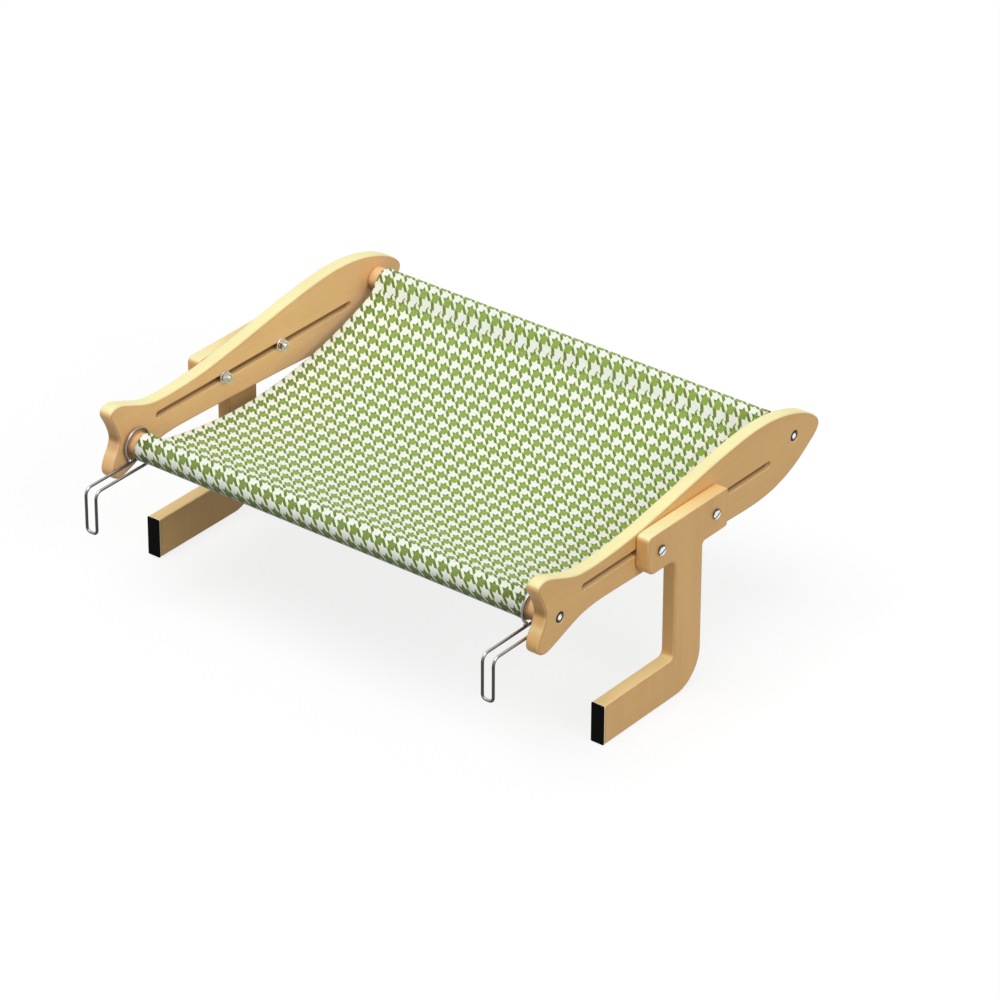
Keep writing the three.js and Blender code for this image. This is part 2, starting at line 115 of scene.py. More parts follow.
class Skin:
    """A mesh in the making, in millimetres. Points have the marks `worn` (rubbed rounded edges, and on the
    cloth painted shade on the front roll), `fresh` (painted light on hole walls that face up), `sunlit`
    (painted light on edges that face up, painted highlights and reflections on metal) and `deep` (painted
    shade in holes, on shaded sides and undersides), and places on the UV maps `check` (u, v) and `yarn`
    (yarn_u, yarn_v)."""

    MARKS = ("worn", "fresh", "sunlit", "deep")
    LOOKS = MARKS + ("u", "v", "yarn_u", "yarn_v")

    def __init__(self):
        self.points, self.looks, self.faces = [], [], []

    def add(self, points, **looks):
        """Adds an array of points of any shape (..., 3) and returns their numbers in that shape."""
        shape = points.shape[:-1]
        first = sum(map(len, self.points))
        self.points.append(points.reshape(-1, 3))
        values = (np.broadcast_to(looks.get(look, 0.0), shape).ravel() for look in self.LOOKS)
        self.looks.append(columns(*values))
        return first + np.arange(math.prod(shape)).reshape(shape)

    def join(self, numbers, across=True, along=False):
        """Faces between neighbours of a grid of point numbers; it wraps `across` columns or `along` rows."""
        if across:
            numbers = np.concatenate([numbers, numbers[:, :1]], 1)
        if along:
            numbers = np.concatenate([numbers, numbers[:1]])
        quads = columns(numbers[:-1, :-1], numbers[:-1, 1:], numbers[1:, 1:], numbers[1:, :-1])
        self.faces.extend([list(dict.fromkeys(quad)) for quad in quads.reshape(-1, 4).tolist()])

    def grid(self, points, across=True, along=False, **looks):
        """A grid of points (rows, columns, 3) with faces between neighbours. Returns the numbers."""
        numbers = self.add(points, **looks)
        self.join(numbers, across, along)
        return numbers

    def close(self, *rings, **looks):
        """Closes each ring of point numbers with a fan of triangles round its middle point."""
        for ring in rings:
            middle = self.add(np.concatenate(self.points)[ring].mean(0), **looks)
            self.faces.extend(columns(ring, np.roll(ring, -1), middle).tolist())

    def fill(self, loops, axes):
        """Flat fill between an outer loop and its holes: a Delaunay net held to the loops, of which the
        triangles stay whose middle (u, v) is inside an odd number of loops."""
        numbers = np.concatenate(loops)
        flat = np.concatenate(self.points)[numbers][:, axes]
        spans = np.split(np.arange(len(numbers)), np.cumsum([len(loop) for loop in loops[:-1]]))
        edges = np.concatenate([columns(span, np.roll(span, -1)) for span in spans])
        _, _, triangles, origin, _, _ = delaunay_2d_cdt(flat.tolist(), edges.tolist(), [], 0, 1e-7)
        triangles = np.array([first[0] for first in origin])[np.array(triangles)]
        u, v = flat[triangles].mean(1).T[..., None]
        (u1, u2), (v1, v2) = np.moveaxis(flat[edges.T], 2, 0)
        crossing = u1 + (v - v1) / np.where(v1 == v2, 1, v2 - v1) * (u2 - u1)
        inside = (((v1 > v) != (v2 > v)) & (crossing > u)).sum(1) % 2 == 1
        self.faces.extend(numbers[triangles[inside]].tolist())

    def piece(self, name, node, material, sharp=40, replaces=True):
        """Makes the object, which rides on the node's body and stands for the node."""
        points = np.concatenate(self.points) - [0, DEPTH_MIDDLE, 0]
        mesh = bpy.data.meshes.new(name)
        mesh.from_pydata((points * MM).tolist(), [], self.faces)
        looks = np.concatenate(self.looks).T.astype(np.float32, "C")
        for mark, values in zip(self.MARKS, looks):
            mesh.attributes.new(mark, "FLOAT", "POINT").data.foreach_set("value", values)
        if looks[4:].any():
            corners = np.zeros(len(mesh.loops), np.int32)
            mesh.loops.foreach_get("vertex_index", corners)
            for label, pair in (("check", looks[4:6]), ("yarn", looks[6:])):
                mesh.uv_layers.new(name=label).data.foreach_set("uv", pair[:, corners].T.ravel())
        net = bmesh.new()
        net.from_mesh(mesh)
        bmesh.ops.recalc_face_normals(net, faces=net.faces)
        net.to_mesh(mesh)
        net.free()
        mesh.shade_smooth()
        mesh.set_sharp_from_angle(angle=math.radians(sharp))
        mesh.materials.append(material)
        made = add_object(name, mesh)
        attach(made, BODY_OF[node])
        if replaces:
            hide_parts(node)
        return made


def ease(low, high, value):
    """0 below low, 1 above high and a smooth s-curve between: 3t² - 2t³."""
    t = np.clip((value - low) / (high - low), 0, 1)
    return t * t * (3 - 2 * t)


def full_turn(sides):
    return np.linspace(0, 2 * math.pi, sides, endpoint=False)


def spokes(angle):
    return columns(np.cos(angle), np.sin(angle))


def unit(vectors):
    return vectors / np.linalg.norm(vectors, axis=-1, keepdims=True)


def lengths_along(line):
    return np.concatenate([[0], np.cumsum(np.linalg.norm(np.diff(line, axis=0), axis=1))])


def points_at(lengths, known, line):
    """Points of a line at given lengths, where its own points lie at the known lengths."""
    return columns(*(np.interp(lengths, known, values) for values in line.T))


def rounded_line(corners, pitch=0.6):
    """An outline of corners (u, v, radius), counter-clockwise, with an arc at each that starts where a
    circle of that radius touches the side before. Returns points and outward normals."""
    *places, radii = np.array(corners, float).T
    places = columns(*places)
    points, normals = [], []
    for corner, last, following, radius in zip(places, np.roll(places, 1, 0), np.roll(places, -1, 0), radii):
        before, after = unit(corner - last), unit(following - corner)
        turn = math.atan2(before[0] * after[1] - before[1] * after[0], before @ after)
        angles = turn * np.linspace(0, 1, max(5, int(abs(turn) * radius / pitch)) + 1)[:, None]
        right = np.array([before[1], -before[0]])
        turned = np.cos(angles) * right + np.sin(angles) * before
        centre = corner - before * radius * math.tan(abs(turn) / 2) - right * radius * np.sign(turn)
        points.append(centre + turned * radius * np.sign(turn))
        normals.append(turned)
    return np.concatenate(points), np.concatenate(normals)


def edge_profile(half, radius, support=0.35, steps=6):
    """A board's edge: a support line on each face, a quarter round and the straight side. Columns: place
    across, inset, worn, rim."""
    angle = np.linspace(0, math.pi / 2, steps + 1)
    cosine, sine = np.cos(angle), np.sin(angle)
    arc = columns(half - radius * (1 - cosine), radius * (1 - sine), np.sin(2 * angle), sine)
    outer = np.concatenate([[[half, radius + support, 0, 0]], arc])
    return np.concatenate([outer * [-1, 1, 1, 1], outer[::-1]])


def hole_profile(radius, support, steps, dark_from, dark_by, dark):
    """The wall of a hole through a board: the edge's profile with a fifth column, deep, which paints shade:
    slight on the rounded rims, and turning dark between two more lines near each face, so the hole's middle
    is in painted shade."""
    edge = edge_profile(BOARD_HALF, radius, support, steps)
    edge = np.concatenate([edge, 0.05 * edge[:, 3:]], 1)
    inner = np.array([[BOARD_HALF - dark_from, 0, 0, 1, 0.05], [BOARD_HALF - dark_by, 0, 0, 1, dark]])
    middle = len(edge) // 2
    return np.concatenate([edge[:middle], inner * [-1, 1, 1, 1, 1], inner[::-1], edge[middle:]])


def board(skin, outline, normals, half, radius, holes, place, axes=(1, 2), painted_shade=0, top_light=1, inside=False):
    """A board's outer edge, its holes' walls and two flat faces. Profiles are carried along outlines:
    point = outline - inset * outward normal, pushed across by the profile's first column, and put into the
    frame by `place`. A hole is (outline, normals, profile); painted light makes its wall pale where it
    faces up, and the profile's fifth column paints shade inside. The `sunlit` mark paints light on edges
    that face up. For each point of the outline, `painted_shade` paints shade on the sides, with `inside` on
    the inner face too, and `top_light` scales the painted light on the edges. A thin line of painted shade
    lies where the rounding starts."""
    rings = []
    for outline, normals, profile in [(outline, normals, edge_profile(half, radius)), *holes]:
        across, inset, worn, rim, *deep = profile.T[..., None]
        upward = ease(0.4, 0.75, normals[:, 1])
        if deep:
            # Hole walls: painted shade from the profile, and painted light where the wall faces up.
            looks = {"deep": deep[0], "fresh": rim * upward * (1 - deep[0])}
        else:
            # Outer edge: a thin line of painted shade where the rounding starts, painted shade on the sides,
            # and painted light on edges that face up.
            line = 0.4 * np.exp(-((rim - 0.26) / 0.2) ** 2) * (rim > 0)
            side_shade = np.where(inside & (across < 0), 1, rim) * painted_shade
            looks = {"deep": side_shade + line, "sunlit": rim ** 1.5 * upward * top_light}
        flat = outline - inset[..., None] * normals
        rings.append(skin.grid(place(across, flat[..., 0], flat[..., 1]), worn=worn, **looks))
    for end in (0, -1):
        skin.fill([ring[end] for ring in rings], list(axes))


def circle_hole(centre, radius):
    """A round hole's outline and its normals, which point to the hole's middle."""
    outward = spokes(full_turn(48))
    return centre + radius * outward, -outward


def along_x(side, inner, outer):
    """Places a board across x between two planes, its inner face towards the middle of the frame."""
    return lambda across, y, z: columns(side * ((inner + outer) / 2 + across), y, z)


def lathe(skin, rows, sides, centre, side=1, along=False, offset=0.0, **looks):
    """Turns rows (x, radius) about the x axis through `centre`: point = (x, r cos a, r sin a). Both may
    be one number for each side."""
    x, radius = (np.stack([np.broadcast_to(row[column], sides) for row in rows]) for column in (0, 1))
    y, z = (radius[..., None] * spokes(full_turn(sides) + offset)).T
    return skin.grid(columns(side * x, centre[0] + y.T, centre[1] + z.T), along=along, **looks)


def hexagon(flat_radius, sides):
    """Distance from the middle to a regular hexagon at each angle: r = apothem / cos(angle to the flat)."""
    return flat_radius / np.cos((full_turn(sides) % (math.pi / 3)) - math.pi / 6)


# Shader making
class Value:
    """A shader socket that can be reckoned with: a * b + c adds math nodes to the socket's tree."""

    def __init__(self, socket):
        self.socket = socket

    __add__ = lambda self, other: maths("ADD", self, other)
    __sub__ = lambda self, other: maths("SUBTRACT", self, other)
    __rsub__ = lambda self, other: maths("SUBTRACT", other, self)
    __mul__ = lambda self, other: maths("MULTIPLY", self, other)
    __truediv__ = lambda self, other: maths("DIVIDE", self, other)


def set_inputs(node, inputs):
    """Gives a node's inputs, by name or number, a constant, a colour (r, g, b) or another node's output."""
    for name, value in inputs.items():
        socket = node.inputs[name]
        if isinstance(value, Value):
            node.id_data.links.new(value.socket, socket)
        else:
            socket.default_value = (*value, 1.0) if socket.type == "RGBA" else value


def add_node(kind, output, inputs, near=None, **settings):
    """Adds a shader node to the tree of its inputs, or of `near`, and returns one of its outputs."""
    near = near or next(value for value in inputs.values() if isinstance(value, Value))
    made = near.socket.id_data.nodes.new("ShaderNode" + kind)
    for name, value in settings.items():
        setattr(made, name, value)
    set_inputs(made, inputs)
    return Value(made.outputs[output])


def maths(operation, *values):
    return add_node("Math", 0, dict(enumerate(values)), operation=operation)


def clamped(value):
    """Holds the sum that was made last between 0 and 1."""
    value.socket.node.use_clamp = True
    return value


def blend(factor, one, other, mode="MIX"):
    return add_node("Mix", 2, {0: factor, 6: one, 7: other}, data_type="RGBA", blend_type=mode)


def layered(colour, *layers):
    """Lays colours over one another, each as (share, colour)."""
    for share, other in layers:
        colour = blend(share, colour, other)
    return colour


def spread(value, low, high, to_low=0.0, to_high=1.0):
    """Maps low..high of a value smoothly to to_low..to_high."""
    inputs = dict(enumerate((value, low, high, to_low, to_high)))
    return add_node("MapRange", 0, inputs, interpolation_type="SMOOTHSTEP")


def noise(vector, scale, detail=2.0, roughness=0.5, output="Fac"):
    inputs = {"Vector": vector, "Scale": scale, "Detail": detail, "Roughness": roughness}
    return add_node("TexNoise", output, inputs)


def vector_maths(operation, *values):
    return add_node("VectorMath", 0, dict(enumerate(values)), operation=operation)


def fibres(vector, length, width, detail, roughness):
    """Noise in which the vector's x counts for less than y and z."""
    return noise(vector_maths("MULTIPLY", vector, (length, width, width)), 1, detail, roughness)


def part(vector, axis):
    return add_node("SeparateXYZ", axis, {0: vector})


def grey(value):
    return add_node("CombineColor", 0, {0: value, 1: value, 2: value})


def mark_of(near, name):
    return add_node("Attribute", "Fac", {}, near, attribute_name=name, attribute_type="GEOMETRY")


def raised(height, depth):
    """A surface that is raised by up to that depth in metres."""
    return add_node("Bump", 0, {"Strength": 1.0, "Distance": depth, "Height": height})


def node_group(build):
    """Makes a shader node group of a function, whose annotations are the kinds of its sockets. Calling it
    then adds the group to the tree of the sockets it gets, and returns the outputs."""
    group = bpy.data.node_groups.new(build.__name__.replace("_", " "), "ShaderNodeTree")

    def add_socket(name, direction, kind):
        group.interface.new_socket(name=name, in_out=direction, socket_type="NodeSocket" + kind)

    for name, kind in build.__annotations__.items():
        add_socket(name, "INPUT", kind)
    given = group.nodes.new("NodeGroupInput").outputs
    results = build(*(Value(given[name]) for name in build.__annotations__))
    for name, value in results.items():
        add_socket(name, "OUTPUT", "Color" if value.socket.type == "RGBA" else "Float")
    set_inputs(group.nodes.new("NodeGroupOutput"), results)

    def use(*sockets):
        first = add_node("Group", 0, dict(enumerate(sockets)), node_tree=group)
        return [Value(output) for output in first.socket.node.outputs]

    return use


@node_group
def wood_grain(vector: "Vector", pale: "Color", deep: "Color"):
    """Long fibres along the vector's x: broad figure, growth bands, fine streaks and short pores."""
    figure = fibres(vector, 5, 38, 3, 0.55)
    streak = fibres(vector, 22, 620, 3, 0.6)
    pores = spread(fibres(vector, 150, 2300, 1, 0.4), 0.66, 0.76)
    bands = maths("SINE", part(vector, 1) * 900 + part(vector, 2) * 420 + figure * 44) * 0.5 + 0.5
    tone = clamped(spread(figure, 0.3, 0.7) * 0.5 + bands * 0.1 + spread(streak, 0.3, 0.7) * 0.26)
    in_pores = blend(1.0, deep, (0.62, 0.5, 0.38), "MULTIPLY")
    colour = layered(pale, (tone, deep), (pores * 0.35, in_pores))
    return {"colour": colour, "height": streak * 0.5 - pores * 0.6, "pores": pores}


@node_group
def edge_wear(vector: "Vector", worn: "Float", amount: "Float"):
    """Rubbed edges: the `worn` mark of the mesh, broken up by two sizes of noise."""
    broad = spread(noise(vector, 45), 0.38, 0.62)
    fine = spread(noise(vector, 420, 3, 0.6), 0.3, 0.65)
    return {"mask": clamped(broad * fine * worn * amount)}


@node_group
def handling(vector: "Vector", amount: "Float"):
    """Handling and dust: soft clouds that shift roughness and darken a little."""
    clouds = noise(vector, 14, 4, 0.6)
    return {"clouds": clouds, "shade": spread(clouds, 0.3, 0.75) * amount}


@node_group
def worked_metal(vector: "Vector", colour: "Color", roughness: "Float"):
    """Drawn or turned metal: fine lines along the vector's x, pits and a slight colour drift."""
    patches = noise(vector, 160, 3, 0.6)
    return {
        "colour": blend(1.0, colour, grey(spread(patches, 0.3, 0.75, 1.0, 0.8)), "MULTIPLY"),
        "roughness": clamped(patches * 0.25 + (roughness - 0.1)),
        "height": fibres(vector, 240, 5200, 2, 0.6),
    }


@node_group
def yarn_weave(vector: "Vector", yarns: "Float"):
    """Twill in yarns: each yarn is a round ridge, and the upper yarn of each crossing steps diagonally."""
    warp, weft = part(vector, 0) * yarns, part(vector, 1) * yarns
    warp_ridge, weft_ridge = (maths("ABSOLUTE", maths("SINE", value * math.pi)) for value in (warp, weft))
    cells = maths("FLOOR", warp), maths("FLOOR", weft)
    top = maths("LESS_THAN", maths("FRACT", (cells[0] + cells[1]) * 0.25), 0.49)
    cell = add_node("CombineXYZ", 0, {0: cells[0], 1: cells[1], 2: top})
    tint = add_node("TexWhiteNoise", "Value", {"Vector": cell}, noise_dimensions="3D")
    return {"height": (warp_ridge - weft_ridge) * top + weft_ridge, "tint": tint}


@node_group
def houndstooth_check(vector: "Vector", softness: "Float"):
    """Houndstooth: warp is dark in the first half of each repeat of u, weft of v, and the upper thread
    changes along u + v twice a repeat. Mixed is 1 where warp and weft differ, as in the teeth."""
    def first_half(value):
        """1 in the first half of each unit, with soft borders: a clipped triangle wave."""
        shifted = maths("FRACT", value + 0.25)
        return clamped((0.25 - maths("ABSOLUTE", shifted - 0.5)) / softness + 0.5)

    u, v = part(vector, 0), part(vector, 1)
    warp, weft, diagonal = first_half(u), first_half(v), first_half((u + v) * 2)
    return {"dark": (warp - weft) * diagonal + weft, "mixed": maths("ABSOLUTE", warp - weft)}


def make_material(name, build, *looks):
    """A material whose Principled shader gets the inputs that `build` makes of Object coordinates."""
    made = bpy.data.materials.new(name)
    made.use_nodes = True
    nodes = made.node_tree.nodes
    place = Value(nodes.new("ShaderNodeTexCoord").outputs["Object"])
    set_inputs(nodes["Principled BSDF"], build(place, *looks))
    return made


# The third colour is both the pale of painted light on edges that face up and the pale of rubbed edges.
PALE_WOOD, DEEP_WOOD, LIT_AND_WORN_WOOD = (0.88, 0.54, 0.2), (0.8, 0.46, 0.16), (0.92, 0.88, 0.46)


def wood(place, turn, pale, deep, pale_light_from):
    """Oiled wood: grain, rubbed corners, dust, and painted light on edges that face up, pale above the height
    `pale_light_from` and orange below it. Up-facing hole walls get a pale orange painted light, and the
    `deep` mark a dark brown painted shade."""
    grain, height, pores = wood_grain(add_node("Mapping", 0, {"Vector": place, "Rotation": turn}), pale, deep)
    wear, = edge_wear(place, mark_of(place, "worn"), 0.55)
    clouds, shade = handling(place, 0.1)
    sunlit, dark = mark_of(place, "sunlit"), mark_of(place, "deep")
    reach = spread(part(place, 2), pale_light_from, pale_light_from + 0.006)
    pale_light = sunlit * reach * spread(clouds, 0.2, 0.8, 1.0, 0.82)
    # Layers: painted light on edges (orange low, pale high), rubbed edges, dust, painted light on hole walls,
    # painted shade.
    colour = layered(
        grain, (clamped(sunlit * (0.95 - reach)), (1.0, 0.72, 0.33)),
        (pale_light, blend(pores * 0.12, LIT_AND_WORN_WOOD, deep)), (wear * 0.4, LIT_AND_WORN_WOOD),
        (shade, (0.5, 0.33, 0.17)), (mark_of(place, "fresh"), (1.0, 0.74, 0.37)), (dark, (0.22, 0.09, 0.02)))
    return {
        "Base Color": colour, "Roughness": clamped(height * 0.18 + 0.46 - wear * 0.08 + dark * 0.5),
        "Coat Weight": 0.06 - dark * 0.06, "Coat Roughness": 0.45, "Normal": raised(height, 0.00006),
    }


def metal(place, colour, highlight, roughness, fineness=1.0):
    """Plated metal with drawn lines and a colour drift, a painted highlight where `sunlit` and painted shade
    where `deep`.
    """
    vector = add_node("Mapping", 0, {"Vector": place, "Scale": (fineness,) * 3})
    colour, rough, height = worked_metal(vector, colour, roughness)
    _, shade = handling(place, 0.18)
    colour = layered(
        colour, (shade, (0.18, 0.17, 0.16)), (mark_of(place, "sunlit"), highlight),
        (mark_of(place, "deep"), (0.03, 0.026, 0.022)))
    return {"Base Color": colour, "Metallic": 1.0, "Roughness": rough, "Normal": raised(height, 0.00001)}


def rubber(place):
    """Matt black rubber with dust on its rubbed edges and a pale glue layer behind."""
    clouds, shade = handling(place, 0.25)
    wear, = edge_wear(place, mark_of(place, "worn"), 0.5)
    backing = spread(part(place, 1), (0.7 - DEPTH_MIDDLE) * MM, (0.95 - DEPTH_MIDDLE) * MM)
    colour = layered(
        (0.0035, 0.0035, 0.0032), (shade, (0.006, 0.006, 0.0055)), (wear * 0.3, (0.03, 0.029, 0.027)),
        (backing, (0.95, 0.86, 0.66)))
    return {
        "Base Color": colour, "Roughness": spread(clouds, 0.2, 0.8, 0.78, 0.92),
        "Specular IOR Level": 0.06, "Normal": raised(noise(place, 2600), 0.00008),
    }


def cloth(place):
    """Houndstooth twill: the UV map `check` has one unit to a repeat, `yarn` the cloth's true length. The
    greens carry painted shade by the hems and on the front roll, the roll's underside a bluish painted
    shade, and the yarns' valleys painted shade too."""
    check, yarn = (add_node("UVMap", 0, {}, place, uv_map=name) for name in ("check", "yarn"))
    centred = vector_maths("SUBTRACT", noise(place, 700.0, 1.0, output="Color"), (0.5,) * 3)
    dark, mixed = houndstooth_check(vector_maths("MULTIPLY_ADD", centred, (0.035,) * 3, check), 0.02)
    height, tint = yarn_weave(yarn, 20.0)
    _, shade = handling(place, 0.06)
    green = blend(
        mixed, blend(tint, (0.25, 0.4, 0.04), (0.31, 0.46, 0.065)),
        blend(tint, (0.12, 0.195, 0.026), (0.165, 0.25, 0.045)))
    white = blend(
        mixed, blend(tint, (0.92, 0.975, 0.87), (0.97, 0.995, 0.91)),
        blend(tint, (0.92, 0.98, 0.68), (0.97, 0.995, 0.75)))
    # Painted shade on the greens near the hems, and by the `worn` mark on the front roll.
    from_middle = maths("ABSOLUTE", part(place, 0) - (SLING_LEFT + SLING_RIGHT) / 2 * MM)
    dimmed = mark_of(place, "worn") * 0.42 + spread(from_middle, 0.16, 0.187, 0.0, 0.55)
    colour = layered(white, (dark, green), (dimmed * dark, (0.085, 0.135, 0.015)))
    # Painted shade under the front roll, by the `deep` mark: bluish on whites, dark on greens.
    roll_shade = blend(dark, (0.64, 0.67, 0.74), (0.26, 0.31, 0.28))
    colour = blend(mark_of(place, "deep"), colour, blend(1.0, colour, roll_shade, "MULTIPLY"))
    # Painted shade in the yarns' valleys.
    colour = blend(0.5, colour, grey(spread(height, 0.0, 0.55, 0.84, 1.0)), "MULTIPLY")
    return {
        "Base Color": blend(shade, colour, (0.6, 0.62, 0.52)),
        "Roughness": spread(height, 0.0, 1.0, 0.95, 0.8),
        "Sheen Weight": 0.12, "Sheen Roughness": 0.5, "Normal": raised(height, 0.00012),
    }


def thread(place, colour, other):
    """Sewing thread: a twist of two tones."""
    inputs = {"Vector": place, "Scale": 900.0, "Distortion": 0.6}
    twist = add_node("TexWave", "Fac", inputs, bands_direction="DIAGONAL")
    return {
        "Base Color": blend(twist, colour, other), "Roughness": 0.75, "Sheen Weight": 0.1,
        "Normal": raised(twist, 0.00005),
    }


ALONG_X, ALONG_Y, ALONG_Z = (0, 0, 0), (0, 0, -math.pi / 2), (0, math.pi / 2, 0)
# The left panel's wood is paler and more orange than the right's: painted light, for the light that the sling
# throws back onto its inner face.
PANEL_WOODS = {
    "left": make_material("left panel wood", wood, ALONG_Y, (0.99, 0.61, 0.27), (0.92, 0.525, 0.225), 0.1),
    "right": make_material("right panel wood", wood, ALONG_Y, PALE_WOOD, DEEP_WOOD, 0.1),
}
BRACKET_WOOD = make_material("bracket wood", wood, ALONG_Z, PALE_WOOD, DEEP_WOOD, 0.14)
DOWEL_WOOD = make_material("dowel wood", wood, ALONG_X, (0.93, 0.59, 0.3), (0.85, 0.5, 0.24), 0.3)
# Each metal's second colour is its painted highlight, laid where the `sunlit` mark is.
STEEL = make_material("screw steel", metal, (0.74, 0.75, 0.76), (0.95, 0.95, 0.95), 0.3)
NUT_STEEL = make_material("nut steel", metal, (0.9, 0.9, 0.89), (0.95, 0.95, 0.95), 0.22)
WIRE = make_material("hook wire", metal, (0.06, 0.057, 0.054), (0.5, 0.48, 0.46), 0.28, 0.12)
BRASS = make_material("insert brass", metal, (0.68, 0.5, 0.2), (0.8, 0.62, 0.3), 0.4)
RUBBER = make_material("pad rubber", rubber)
CLOTH = make_material("houndstooth cloth", cloth)
HEM_THREAD = make_material("hem thread", thread, (0.8, 0.87, 0.66), (0.9, 0.94, 0.78))
SEAM_THREAD = make_material("seam thread", thread, (0.44, 0.54, 0.26), (0.56, 0.64, 0.38))
DARK_THREAD = make_material("tick thread", thread, (0.07, 0.12, 0.03), (0.14, 0.21, 0.06))


# Side panels and brackets
def fish_outline():
    """The closed centripetal Catmull-Rom curve through the fish points, each stretch a cubic
    c0 + c1 t + c2 t² + c3 t³, evened out by a 1.2 mm blur along its length; counter-clockwise."""
    steps, count, blur = 14, 900, 1.2
    knots = FISH_SHARES * [PANEL_LENGTH, PANEL_HEIGHT] + [PANEL_TAIL, PANEL_BOTTOM]
    a, b, c, d = (np.roll(knots, shift, 0)[:, None] for shift in (1, 0, -1, -2))
    gap = lambda one, other: np.sqrt(np.linalg.norm(one - other, axis=-1, keepdims=True))
    ab, bc, cd = gap(a, b), gap(b, c), gap(c, d)
    leave = ((b - a) / ab - (c - a) / (ab + bc) + (c - b) / bc) * bc
    arrive = ((c - b) / bc - (d - b) / (bc + cd) + (d - c) / cd) * bc
    t = np.linspace(0, 1, steps, endpoint=False)[None, :, None]
    square, cube = 3 * (c - b) - 2 * leave - arrive, 2 * (b - c) + leave + arrive
    curve = b + leave * t + square * t ** 2 + cube * t ** 3
    closed = np.concatenate([curve.reshape(-1, 2), curve[0, :1]])
    length = lengths_along(closed)
    points = points_at(np.linspace(0, length[-1], count, endpoint=False), length, closed)
    waves = np.fft.rfftfreq(count, length[-1] / count)
    fading = np.exp(-2 * (math.pi * blur * waves) ** 2)[:, None]
    points = np.fft.irfft(np.fft.rfft(points, axis=0) * fading, count, axis=0)
    if np.cross(points, np.roll(points, -1, 0)).sum() < 0:
        points = points[::-1]
    ahead = unit(np.roll(points, -1, 0) - np.roll(points, 1, 0))
    return points, columns(ahead[:, 1], -ahead[:, 0])


def slot_hole():
    """The slot's outline, two straights and two half circles, with normals that point into the slot."""
    low, high, r = BOLT_HEIGHT - SLOT_HALF, BOLT_HEIGHT + SLOT_HALF, SLOT_HALF
    points, normals = rounded_line(
        [(SLOT_FRONT, low, r), (SLOT_BACK, low, r), (SLOT_BACK, high, r), (SLOT_FRONT, high, r)], 0.4)
    return points, -normals, hole_profile(0.5, 0.4, 4, 2.6, 4.4, 0.7)


def dowel_screw_hole(centre):
    """Stepped hole: a wide bore from the outer face, a shoulder and a narrow bore through; the profile's
    fifth column paints shade down the bores.
    """
    profile = np.array([
        [-6, -0.85, 0, 0, 0], [-6, -1.25, 0, 0, 0], [-5.85, -1.6, .5, 1, 0], [-5.5, -1.75, 0, 1, .5],
        [0.4, -1.75, 0, 1, 1], [0.4, -1.7, 0, 1, 1], [0.4, -0.1, 0, 1, 1], [0.4, 0, 0, 1, 1],
        [5.0, 0, 0, 1, 1], [5.4, 0, 0, 1, .8], [5.6, 0.08, 1, 1, 0], [5.88, 0.4, 1, .5, 0],
        [6, 0.75, 1, 0, 0], [6, 1.35, 0, 0, 0],
    ])
    return (*circle_hole(centre, 4.55), profile)


def make_panel(name, side, wood):
    """The fish board. Painted shade darkens the tail's notch, most just above its deepest point at z = 134,
    falling off sharply below and slowly above."""
    outline, normals = fish_outline()
    y, z = outline.T
    in_notch = (1 - ease(PANEL_TAIL + 11, PANEL_TAIL + 16, y)) * ease(130.5, 134.5, z)
    painted_shade = in_notch * (0.5 - 0.28 * ease(135, 143, z)) * (1 - ease(146, 155, z))
    holes = [slot_hole(), dowel_screw_hole(FRONT_DOWEL), dowel_screw_hole(BACK_DOWEL)]
    place = along_x(side, PANEL_INNER, PANEL_OUTER)
    skin = Skin()
    board(skin, outline, normals, BOARD_HALF, 2.0, holes, place, painted_shade=painted_shade)
    skin.piece(f"{name}_panel_board", f"{name}_side_panel", wood)


def make_bracket(name, side):
    """The head, leg and foot in one board. The head's top carries painted light, full at the front and weaker
    towards the back. The left leg carries painted shade on its sides and inner face, darker towards its top."""
    outline, normals = rounded_line([
        (2, 0, 2), (120.5, 0, 30), (120.5, 120.5, 3), (151.5, 120.5, 3), (151.5, 154, 3), (52, 154, 5),
        (52, 120.5, 9), (86.5, 120.5, 7), (86.5, 34, 5), (2, 34, 2),
    ])
    bore = hole_profile(0.3, 0.3, 3, 1.0, 2.0, 1.0)
    holes = [(*circle_hole((y, BOLT_HEIGHT), 2.8), bore) for y in BOLT_PLACES]
    y, z = outline.T
    top_light = 1 - 0.9 * ease(58, 106, y) * (z > BOLT_HEIGHT)
    painted_shade = (side < 0) * 0.5 * np.clip((z - 30) / 87, 0, 1) * (z < 120.6)
    skin = Skin()
    board(skin, outline, normals, BOARD_HALF, 1.5, holes, along_x(side, BRACKET_INNER, BRACKET_OUTER),
          top_light=top_light, painted_shade=painted_shade, inside=True)
    skin.piece(f"{name}_bracket_board", f"{name}_bracket", BRACKET_WOOD)


def make_foot_pad(name, side):
    """A 2 mm plate in front of the foot, thin along y, with eased edges."""
    middle = side * (BRACKET_INNER + BRACKET_OUTER) / 2
    outline, normals = rounded_line([(-6, 0, 1), (6, 0, 1), (6, 34, 1), (-6, 34, 1)], 0.2)
    place = lambda across, u, v: columns(middle + u, 1 + across, v)
    skin = Skin()
    board(skin, outline, normals, 1, 0.45, [], place, (0, 2))
    skin.piece(f"{name}_foot_rubber", f"{name}_foot_pad", RUBBER)


